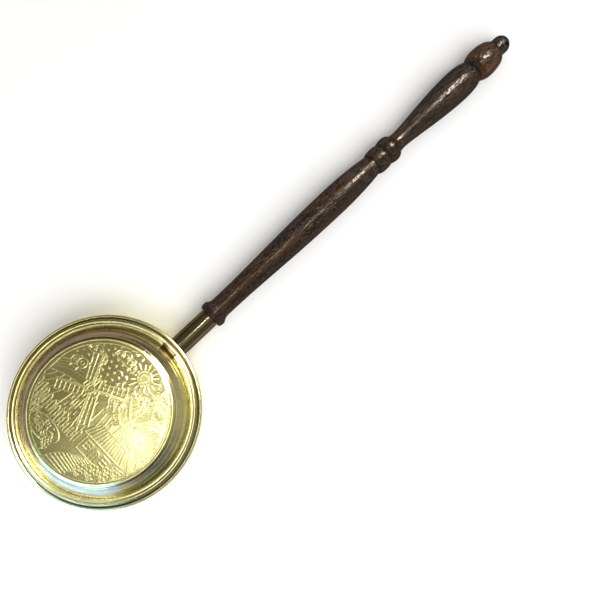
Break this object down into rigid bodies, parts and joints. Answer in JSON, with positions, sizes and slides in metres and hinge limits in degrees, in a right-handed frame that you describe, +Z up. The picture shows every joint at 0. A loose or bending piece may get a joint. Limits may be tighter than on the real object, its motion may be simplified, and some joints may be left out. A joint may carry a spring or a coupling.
{
  "type": "bed warming pan",
  "caption": "Small round brass bed warming pan with a hinged raised lid on a rolled rim, a brass ferrule and a long turned dark wood handle ending in a knob and a drilled finial.",
  "frame": {"origin": "centre of the pan's flat base, on the surface that the pan stands on", "axes": "+X from the pan along the handle, +Z up through the lid, +Y across"},
  "size_m": [0.5611, 0.1524, 0.0513],
  "materials": {
    "brass": "polished sheet with light wear",
    "steel": "plain drawn wire and turned screw",
    "dark_wood": "gloss lacquer over dark red-brown stain",
    "black_wood": "satin black-brown lacquer"
  },
  "bodies": {
    "pan": {"pan": "brass", "pan_rim_wire": "steel", "hinge_strap": "brass", "handle_screw": "steel", "screw_washer": "steel", "ferrule": "brass", "handle": "dark_wood", "finial": "black_wood"},
    "lid": {"lid": "brass", "lid_rim_wire": "steel"}
  },
  "joints": [
    {"name": "lid_hinge", "type": "hinge", "parent": "pan", "child": "lid", "pos_m": [0.07026, 0, 0.038], "axis": [0, 1, 0], "range_deg": [0, 110]}
  ]
}
